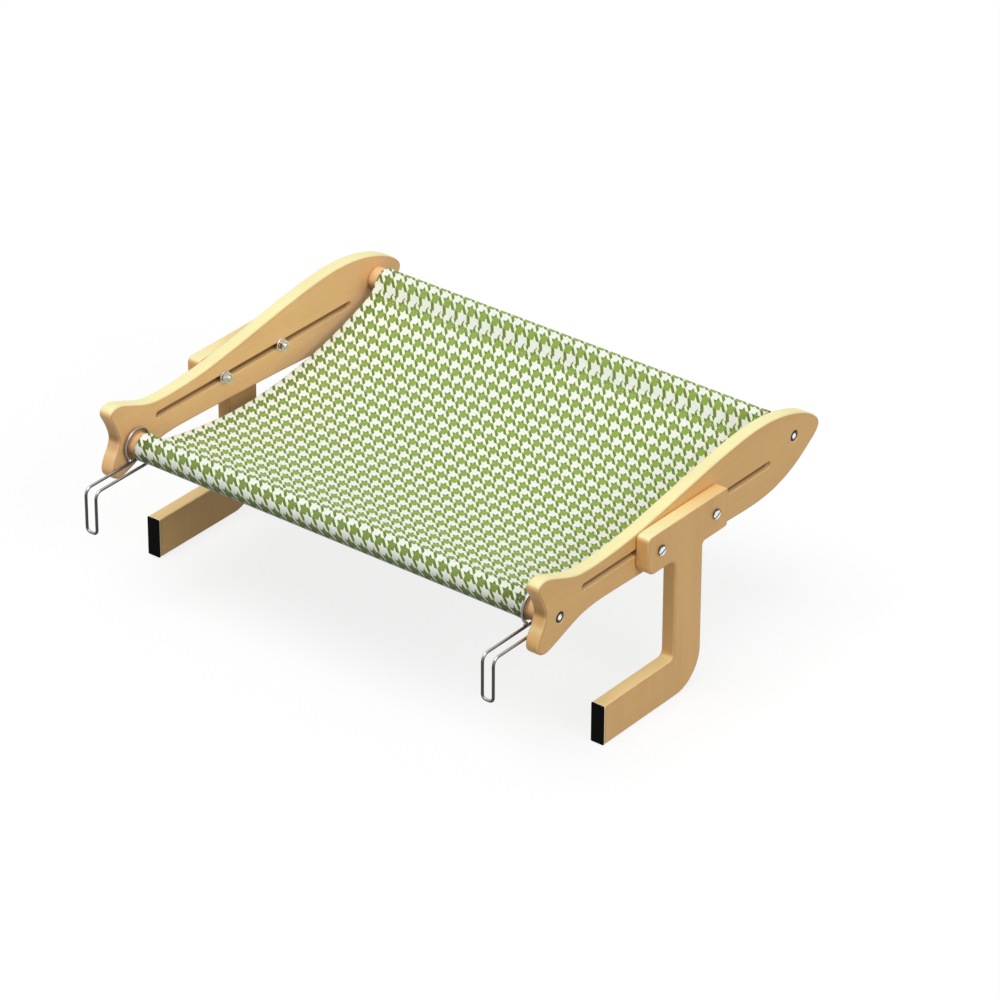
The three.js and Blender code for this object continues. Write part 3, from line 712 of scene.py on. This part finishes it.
# Dowels and fasteners
def make_dowel(name, centre):
    """A rod with eased ends and a blind hole in each, turned about its axis, with painted shade underneath.
    """
    end = [(174.4, 4.3), (200.1, 4.3), (200.4, 4.6), (200.4, 9.1), (200.3, 9.4), (200.0, 9.75),
           (199.6, 9.97), (199.0, 10), (100, 10)]
    rows = end + [(0, 10)] + [(-x, radius) for x, radius in end[::-1]]
    sides = 96
    skin = Skin()
    rings = lathe(skin, rows, sides, centre, deep=0.6 * ease(-0.35, 0.3, -np.sin(full_turn(sides))))
    skin.close(*rings[[0, -1]])
    skin.piece(f"{name}_dowel_rod", f"{name}_dowel", DOWEL_WOOD)


def make_dowel_screw(name, side, centre):
    """A round cap head on a plain shank, with painted shade on the head's rim and sides and a painted
    highlight in its hexagon socket.
    """
    sides = 72
    socket = hexagon(1.7, sides)
    rows = [(211.2, socket * 0.98), (212.1, socket), (212.4, socket + 0.22), (212.4, 2.3), (212.4, 3.7),
            (212.3, 4.0), (212.0, 4.2), (211.7, 4.25), (207.6, 4.25), (207.4, 4.05), (207.4, 2.6),
            (207.2, 2.5), (184.2, 2.5), (183.4, 1.8)]
    deep = np.array([0, 0, 0, 0.9, 1, 1, 1, 1, 1, 1, 1, 0.3, 0, 0])[:, None]
    skin = Skin()
    rings = lathe(skin, rows, sides, centre, side, deep=deep, sunlit=np.arange(len(rows))[:, None] < 3)
    skin.close(rings[0], sunlit=1)
    skin.close(rings[-1])
    skin.piece(f"{name}_dowel_cap_screw", f"{name}_dowel_screw", STEEL)


def make_bolt(name, side, centre, slant):
    """A slotted pan head on a threaded shank. The head is a height over the disc, a dome that falls with
    (1 - r^2.6)^0.5, cut to the slot's floor near its middle line. The thread is a lathe whose radius
    follows a wave of turn + x / pitch."""
    skin = Skin()
    sides, pitch = 48, 0.8
    x = np.concatenate([[193.9, 194.1], np.arange(194.4, 200.4, 0.1), [200.6, 225.3]])[:, None]
    wave = np.abs(((x / pitch - full_turn(sides) / (2 * math.pi)) % 1) - 0.5) * 2
    cut = ease(193.9, 195.0, x) * (1 - ease(199.4, 200.2, x))
    radius = 2.5 - 0.34 * cut * wave - 0.5 * (1 - ease(193.7, 194.8, x))
    skin.close(*lathe(skin, list(zip(x, radius)), sides, centre, side)[[0, -1]])

    outer, half_slot, base, rim, top, floor = 4.3, 0.62, 225.3, 226.2, 227.6, 226.5
    bow = outer * np.sin(np.linspace(math.asin(half_slot / outer), math.pi / 2 - 0.02, 12))
    across = np.concatenate([-bow[::-1], [-half_slot, 0, half_slot], bow])
    in_slot = np.repeat([False, True, False], [len(bow), 3, len(bow)])[:, None]
    share = np.sin(np.linspace(-math.pi / 2, math.pi / 2, 25))
    p, q = np.broadcast_arrays(across[:, None], np.sqrt(outer ** 2 - across ** 2)[:, None] * share)
    r = np.hypot(p, q) / outer
    height = rim + (top - rim) * np.sqrt(np.clip(1 - r ** 2.6, 0, 1))
    height = np.where(in_slot, np.minimum(height, floor), height)
    sine, cosine = math.sin(slant), math.cos(slant)
    rotated = lambda x, p, q: columns(
        side * x, centre[0] + q * cosine - p * sine, centre[1] + q * sine + p * cosine)
    # Painted shade in the slot and round the rim, heavier on one side of the dome, and a painted highlight on
    # the rest of the dome.
    towards = ((q - p) * sine + (q + p) * cosine) / (outer * math.sqrt(2))
    shaded = np.maximum(in_slot, ease(0.8, 0.98, r + 0.16 * towards) * 0.9)
    face = skin.grid(rotated(height, p, q), across=False, deep=shaded, sunlit=0.7 * (1 - shaded))
    around = lambda grid: np.concatenate([grid[0], grid[1:-1, -1], grid[-1, ::-1], grid[-2:0:-1, 0]])
    # The head's side and underside get painted shade.
    level, shrink = np.array([[base + 0.25, 1], [base, 0.95], [base, 0.54]]).T[..., None]
    rows = skin.add(rotated(level, around(p) * shrink, around(q) * shrink), deep=0.8)
    skin.join(np.concatenate([around(face)[None], rows]))
    skin.close(rows[-1])
    skin.piece(f"{name}_pan_bolt", f"{name}_clamp_bolt", STEEL, sharp=50)


def make_washer(name, side, centre):
    """A flat ring with eased edges: a closed section turned about the bolt."""
    section, _ = rounded_line([(199.4, 2.8, .1), (200.4, 2.8, .1), (200.4, 5.5, .25), (199.4, 5.5, .25)], 0.1)
    skin = Skin()
    lathe(skin, section, 64, centre, side, along=True)
    skin.piece(f"{name}_flat_washer", f"{name}_clamp_washer", NUT_STEEL)


def make_nut(name, side, centre):
    """A hexagon nut: each end is chamfered by a 30 degree cone, so the corners end in arcs."""
    sides = 96
    wide = hexagon(4.0, sides)
    fall = (wide - 3.85) * math.tan(math.radians(30))
    rows = [(195.1, 3.85), (195.1 + fall, wide), (199.1 - fall, wide), (199.1, 3.85),
            (199.1, 2.9), (198.8, 2.6), (195.4, 2.6), (195.1, 2.9)]
    skin = Skin()
    lathe(skin, rows, sides, centre, side, along=True, offset=0.3)
    skin.piece(f"{name}_hex_nut", f"{name}_clamp_nut", NUT_STEEL, sharp=30)


# Wire hooks
def hook_path():
    """The wire's middle line about the dowel's axis, of arcs and straights, and the way to the eye's end."""
    def arc(centre, radius, start, towards, degrees):
        """centre + radius (start cos t + towards sin t)."""
        t = np.radians(np.linspace(0, degrees, max(6, int(degrees * radius / 40))))[:, None]
        return centre + radius * (np.cos(t) * start + np.sin(t) * towards)

    gap = 42
    sine, cosine = math.sin(math.radians(gap)), math.cos(math.radians(gap))
    eye_end = (0, -sine, -cosine)
    reach, pitch, bottom, bend, corner = 59.8, 10.1, 49.5, 6.0, 3.5
    (right, back, up), (left, forward, down) = np.eye(3), -np.eye(3)
    line = np.concatenate([
        arc((0, 0, 0), EYE_RADIUS, eye_end, (0, -cosine, sine), 360 - gap),
        arc((0, bend - reach, -EYE_RADIUS - bend), bend, up, forward, 90),
        arc((corner, -reach, corner - bottom), corner, left, down, 90),
        arc((pitch - corner, -reach, corner - bottom), corner, down, right, 90),
        arc((pitch, bend - reach, -EYE_RADIUS - bend), bend, forward, up, 90),
        arc((pitch, 0, 0), EYE_RADIUS, down, back, 10),
    ])
    length = lengths_along(line)
    return points_at(np.linspace(0, length[-1], int(length[-1] / 0.8)), length, line), eye_end


def make_hook(name, x):
    """A round wire carried along the path, with rounded ends and a weld bead. The upper sides of the wire and
    the bead carry a painted highlight, and the eye a painted reflection that makes it brighter.
    """
    path, eye_end = hook_path()
    ahead = unit(np.gradient(path, axis=0))
    guide = np.array([1, 1, 0]) / math.sqrt(2)
    side = unit(guide - (ahead @ guide)[:, None] * ahead)
    upper = np.cross(ahead, side)
    centre = np.array([x, *FRONT_DOWEL])
    radius = np.full(len(path), WIRE_RADIUS)
    narrowing, beyond = np.array([0.35, 0.7, 0.92, 1.0]), np.array([1.1, 0.95, 0.6, 0])[:, None]
    radius[:4] *= narrowing
    radius[-4:] *= narrowing[::-1]
    path[:4] = path[3] - ahead[3] * beyond
    path[-4:] = path[-4] + ahead[-4] * beyond[::-1]
    turn = full_turn(20)
    outward = np.cos(turn)[:, None] * side[:, None] + np.sin(turn)[:, None] * upper[:, None]
    in_eye = np.hypot(path[:, 1], path[:, 2])[:, None] < EYE_RADIUS + 0.6
    skin = Skin()
    rings = skin.grid(
        centre + path[:, None] + radius[:, None, None] * outward,
        sunlit=np.maximum(ease(0.0, 1.0, outward[..., 2]), 0.45 * in_eye))
    skin.close(*rings[[0, -1]])
    bead = centre + [0, eye_end[1] * EYE_RADIUS, (eye_end[2] - 1) * EYE_RADIUS / 2]
    tilt = np.linspace(0.15, math.pi - 0.15, 12)[:, None]
    lumps = 1 + 0.05 * np.sin(3 * turn + 1) * np.sin(2 * tilt)
    ball = columns(1.7 * np.sin(tilt) * np.cos(turn), 2.3 * np.sin(tilt) * np.sin(turn), 2.7 * np.cos(tilt))
    ball = ball * lumps[..., None]
    rows = skin.grid(bead + ball, sunlit=ease(0.2, 1.6, ball[..., 2]))
    skin.close(*rows[[0, -1]])
    skin.piece(f"{name}_hook_wire", f"{name}_hook", WIRE, sharp=60)


# Sling
CLOTH_HALF = 0.45
LOOP_RADIUS = 10.82
LAYER_GAP = 1.05
FLAP = 13.0
BACK_JOIN = 309.0


def sheet_middle(y):
    """The sheet's middle line: a parabola on each side of its lowest point."""
    centre_y = np.where(y < SLING_LOW_Y, FRONT_DOWEL[0], BACK_DOWEL[0])
    rise = np.where(y < SLING_LOW_Y, FRONT_DOWEL[1], BACK_DOWEL[1]) + 3 - SLING_LOW_Z
    return SLING_LOW_Z + rise * ((y - SLING_LOW_Y) / (centre_y - SLING_LOW_Y)) ** 2 - 0.5


def loop_angles(centre, seam, side):
    """Angles at which lines from the seam's two layers touch the loop's circle: the direction to the seam,
    plus or minus acos(radius / distance)."""
    angles = []
    for drop, sign in ((0, side), (LAYER_GAP, -side)):
        y, z = seam - centre[0], sheet_middle(seam) - drop - centre[1]
        angles.append(math.atan2(z, y) + sign * math.acos(LOOP_RADIUS / math.hypot(y, z)))
    return angles


def cloth_line():
    """The cloth's middle line in (y, z), from its end under the front seam round the front dowel, along the
    sheet, round the back dowel and under the back seam, eased by a blur. Returns points, outward normals,
    and the length along the outer side, 19.55 at the top of the front loop."""
    pitch, blur, reach, top_length, turn = 0.25, 1.4, 24, 19.55, 2 * math.pi
    loop = lambda centre, start, stop: centre + LOOP_RADIUS * spokes(np.linspace(start, stop, 160))
    sheet = lambda y, drop: columns(y, sheet_middle(y) - drop)
    front_high, front_low = loop_angles(FRONT_DOWEL, FRONT_SEAM, 1)
    back_high, back_low = loop_angles(BACK_DOWEL, BACK_SEAM, -1)
    line = np.concatenate([
        sheet(np.linspace(FRONT_SEAM + FLAP, FRONT_SEAM, 30), LAYER_GAP),
        loop(FRONT_DOWEL, front_low, front_high - turn),
        sheet(np.linspace(FRONT_SEAM, BACK_SEAM, 300), 0),
        loop(BACK_DOWEL, back_high % turn, back_low % turn - turn),
        sheet(np.linspace(BACK_SEAM, BACK_SEAM - FLAP, 30), LAYER_GAP),
    ])
    length = lengths_along(line)
    line = points_at(np.arange(0, length[-1], pitch), length, line)
    weights = np.exp(-0.5 * (np.arange(-reach, reach + 1) * pitch / blur) ** 2)
    weights /= weights.sum()
    before = line[:1] + (line[:1] - line[1:2]) * np.arange(reach, 0, -1)[:, None]
    after = line[-1:] + (line[-1:] - line[-2:-1]) * np.arange(1, reach + 1)[:, None]
    padded = np.concatenate([before, line, after])
    line = columns(*(np.convolve(values, weights, "valid") for values in padded.T))
    ahead = unit(np.gradient(line, axis=0))
    normals = columns(-ahead[:, 1], ahead[:, 0])
    run = lengths_along(line + CLOTH_HALF * normals)
    top = np.argmax(np.where(line[:, 0] < FRONT_SEAM, line[:, 1], 0))
    return line, normals, run - run[top] + top_length


def seam_places():
    """Lengths along the outer side at which the upper layer crosses the two seams."""
    upper = (cloth_run > 25) & (cloth_run < 330) & (cloth_normals[:, 1] > 0.5)
    y = cloth_points[upper, 0]
    return [cloth_run[upper][np.argmin(np.abs(y - seam))] for seam in (FRONT_SEAM, BACK_SEAM)]


cloth_points, cloth_normals, cloth_run = cloth_line()
SEAM_A, SEAM_B = seam_places()


def check_rows(run):
    """Rows of the check: v is whole at the middle of each green row. The seams shift the loops' rows."""
    sheet = np.interp(run, [212.2 - 121 * 2, 212.2, 248.5, 261.7, 275, 288.3, 301.5, BACK_JOIN],
                      [-20, 0, 3, 4, 5, 6, 7, 7.5])
    front = (run - 10.9) / 12.1 - 17
    back = np.interp(run, [BACK_JOIN, 314.8, 318.4, 444.4], [8.5, 8.75, 9, 19])
    return np.where(run < SEAM_A, front, np.where(run > BACK_JOIN, back, sheet))


def pucker(x, run):
    """Gathers in millimetres, up to 8 mm past the seams: waves along x that fade away from a seam, and long
    shallow waves of tension in the sheet."""
    waves = 0.5 + 0.5 * np.sin(2 * math.pi * x / 9.3 + 1.3 * np.sin(x / 23.0)) * np.cos(x / 41.0 + 0.7)
    near = np.exp(-((run - SEAM_A - 3) / 5.0) ** 2) + 0.4 * np.exp(-((run - SEAM_B + 3) / 5.0) ** 2)
    tension = 0.25 * np.sin(x / 17.0 + run / 60.0) * ease(50, 110, run)
    tension = tension * (1 - ease(230, 290, run))
    return (0.3 * waves * near + tension) * ((run > SEAM_A - 8) & (run < SEAM_B + 8))


def cloth_rows():
    """Places of the cloth's rows of points: close in the loops, wider on the sheet, doubled at seams."""
    start, stop = cloth_run[0], cloth_run[-1]
    spans = [
        (start + 1.4, SEAM_A - 6, 1.3), (SEAM_A - 6, SEAM_A - 0.4, 0.8), (SEAM_A + 1, SEAM_A + 12, 1.1),
        (SEAM_A + 12, SEAM_B - 12, 3.2), (SEAM_B - 12, SEAM_B - 0.5, 1.1),
        (SEAM_B + 0.8, BACK_JOIN - 0.4, 0.8), (BACK_JOIN + 0.8, stop - 1, 1.3),
    ]
    return np.sort(np.concatenate([
        *(np.arange(*span) for span in spans), [start, start + 0.15, start + 0.4],
        [SEAM_A - 0.15, SEAM_A + 0.15, SEAM_B - 0.15, SEAM_B + 0.15],
        [BACK_JOIN - 0.02, BACK_JOIN + 0.02, stop - 0.4, stop - 0.15, stop],
    ]))


def cloth_at(run):
    """The middle line's points and normals at given lengths."""
    return points_at(run, cloth_run, cloth_points), unit(points_at(run, cloth_run, cloth_normals))


def make_sling():
    """A thin closed section with round edges and turned hems, carried along the cloth's middle line and
    moved along its normal by the gathers. `deep` marks painted shade on the front roll's underside,
    `worn` painted shade on all of the roll."""
    rows = cloth_rows()[:, None]
    middle, normals = cloth_at(rows)
    hem = np.array([0, 0.35, 0.9, 1.8, 3.2, 4.4, 5.0, 5.6, 6.2, 6.8, 7.8])
    inner = np.arange(SLING_LEFT + 10, SLING_RIGHT - 9.5, 2.4)
    x = np.concatenate([SLING_LEFT + hem, inner, SLING_RIGHT - hem[::-1]])
    from_edge = np.minimum(x - SLING_LEFT, SLING_RIGHT - x)
    stitched = np.exp(-((from_edge - 5.0) / 0.5) ** 2)
    turned_hem = 0.32 * (1 - ease(5.8, 7.0, from_edge)) - 0.22 * stitched
    round_end = lambda distance, radius: 1 - np.clip(1 - distance / radius, 0, 1) ** 2
    roundness = np.sqrt(round_end(from_edge, 0.9))
    upper, lower = (CLOTH_HALF + turned_hem) * roundness, -CLOTH_HALF * roundness
    section_x = np.concatenate([x, x[-2:0:-1]])
    section_height = np.concatenate([upper, lower[-2:0:-1]])
    ends = (np.clip(round_end(distance, 0.5), 0.02, 1) for distance in (rows - rows[0], rows[-1] - rows))
    height = section_height * np.sqrt(math.prod(ends)) + np.maximum(pucker(section_x, rows), -0.3)
    flat = middle + height[..., None] * normals
    skin = Skin()
    numbers = skin.grid(
        columns(section_x, flat[..., 0], flat[..., 1]),
        deep=0.9 * (1 - ease(-9, 7, rows)), worn=1 - ease(16, 30, rows),
        u=(section_x - 12.2 - 1.1 * (rows > BACK_JOIN)) / CHECK + 0.25, v=check_rows(rows) + 0.25,
        yarn_u=section_x / CHECK, yarn_v=rows / CHECK)
    for ring in (numbers[0], numbers[-1]):
        skin.join(np.stack([ring, np.roll(ring[::-1], 1)])[:, :len(x)], across=False)
    return skin.piece("sling_cloth", "sling_fabric", CLOTH, sharp=80)


def make_stitches(name, x, run, tangent_x, length, radius, material, lift=0.12):
    """Stitches: one small ellipsoid, repeated at (x, run). It lies along x or along the cloth."""
    points, normals = cloth_at(run)
    points = points + (CLOTH_HALF + lift + pucker(x, run))[:, None] * normals
    tilt, turn = np.linspace(0.45, math.pi - 0.45, 5)[:, None], full_turn(7)
    local = columns(
        length / 2 * np.cos(tilt), radius * np.sin(tilt) * np.cos(turn), radius * np.sin(tilt) * np.sin(turn))
    up, along = columns(0.0, *normals.T), columns(0.0, normals[:, 1], -normals[:, 0])
    across = np.broadcast_to([1.0, 0, 0], up.shape)
    axes = np.stack([across, along, up] if tangent_x else [along, across, up], 1)
    skin = Skin()
    numbers = skin.add(columns(x, *points.T)[:, None, None] + np.einsum("abi,nij->nabj", local, axes))
    for stitch in numbers:
        skin.join(stitch)
    skin.faces.extend(numbers[:, 0].tolist() + numbers[:, -1].tolist())
    return skin.piece(name, "sling_fabric", material, replaces=False)


for side_name, side in (("left", -1), ("right", 1)):
    make_panel(side_name, side, PANEL_WOODS[side_name])
    make_bracket(side_name, side)
    make_foot_pad(side_name, side)
    for place_name, centre in (("front", FRONT_DOWEL), ("back", BACK_DOWEL)):
        make_dowel_screw(f"{side_name}_{place_name}", side, centre)
    for place_name, y, slant in zip(("front", "back"), BOLT_PLACES, (0.42, 0.5)):
        name, centre = f"{side_name}_{place_name}", (y, BOLT_HEIGHT)
        make_bolt(name, side, centre, slant)
        make_washer(name, side, centre)
        make_nut(name, side, centre)
make_dowel("front", FRONT_DOWEL)
make_dowel("back", BACK_DOWEL)
make_hook("left", -197.85)
make_hook("right", 187.85)

STITCH_PITCH, HEM_LINE, HEM_TURN = 3.1, 5.0, 8.0
sling = make_sling()
seam_x = np.arange(-182.5, 180, STITCH_PITCH)
seam_run = np.repeat([SEAM_A + 0.2, SEAM_B - 0.2], len(seam_x))
tick_x = np.arange(-38.0 - CHECK * 12, 180, CHECK)
hem_run = np.arange(cloth_run[0] + 4, cloth_run[-1] - 3, STITCH_PITCH)
hem_x = np.repeat([SLING_LEFT + HEM_LINE, SLING_RIGHT - HEM_LINE], len(hem_run))
stitches = [
    make_stitches("seam_stitches", np.tile(seam_x, 2), seam_run, True, 2.2, 0.26, SEAM_THREAD),
    make_stitches("seam_ticks", tick_x, np.full(len(tick_x), BACK_JOIN), False, 2.6, 0.33, DARK_THREAD),
    make_stitches("hem_stitches", hem_x, np.tile(hem_run, 2), False, 2.2, 0.22, HEM_THREAD, 0.02),
]

# Pieces of the frame that keep their own shape
for node, made in frame["nodes"].items():
    if node.endswith("_insert"):
        made.data.materials.clear()
        made.data.materials.append(BRASS)


# Floor and light
def seen_directly(owner):
    """Empties the shader of a material or world. Returns 1 for rays from the camera and for mirrored or
    refracted ones, else 0."""
    owner.use_nodes = True
    nodes = owner.node_tree.nodes
    nodes.clear()
    rays = nodes.new("ShaderNodeLightPath").outputs
    camera, glossy, through = (Value(rays[f"Is {kind} Ray"]) for kind in ("Camera", "Glossy", "Transmission"))
    return maths("MAXIMUM", camera, maths("MAXIMUM", glossy, through))


def make_floor():
    """A plain pale floor, nearly white to the camera and in reflections, with a soft shadow."""
    mesh = bpy.data.meshes.new("floor")
    corners = [(x, y, -0.0004) for x, y in ((-12, -12), (12, -12), (12, 12), (-12, 12))]
    mesh.from_pydata(corners, [], [(0, 1, 2, 3)])
    material = bpy.data.materials.new("pale floor")
    seen = seen_directly(material)
    lit = add_node("BsdfDiffuse", 0, {"Color": blend(seen, (0.3, 0.3, 0.3), (1, 1, 1))})
    white = add_node("Emission", 0, {"Color": (1, 1, 1), "Strength": 1.0}, seen)
    mixed = add_node("MixShader", 0, {0: seen * 0.82, 1: lit, 2: white})
    set_inputs(material.node_tree.nodes.new("ShaderNodeOutputMaterial"), {"Surface": mixed})
    mesh.materials.append(material)
    add_object("floor", mesh)


def make_light():
    """White surroundings, a soft lamp nearly overhead and a weaker one from the right. A lamp's rotation
    (a, b) shines from (cos a sin b, -sin a, cos a cos b)."""
    world = bpy.data.worlds.new("studio")
    bpy.context.scene.world = world
    shell = add_node("Background", 0, {"Color": (1, 1, 1), "Strength": seen_directly(world) * 0.64 + 0.36})
    set_inputs(world.node_tree.nodes.new("ShaderNodeOutputWorld"), {"Surface": shell})
    lamps = ("overhead_lamp", 1.7, 40, 14, -7), ("right_lamp", 0.9, 30, 9.4, 56)
    for name, energy, softness, a, b in lamps:
        lamp = bpy.data.lights.new(name, "SUN")
        lamp.energy = energy
        lamp.angle = math.radians(softness)
        made = add_object(name, lamp)
        made.rotation_euler = (math.radians(a), math.radians(b), 0)
        made.location = (0, 0, 3)


make_floor()
make_light()
bpy.context.scene.view_settings.view_transform = "Standard"
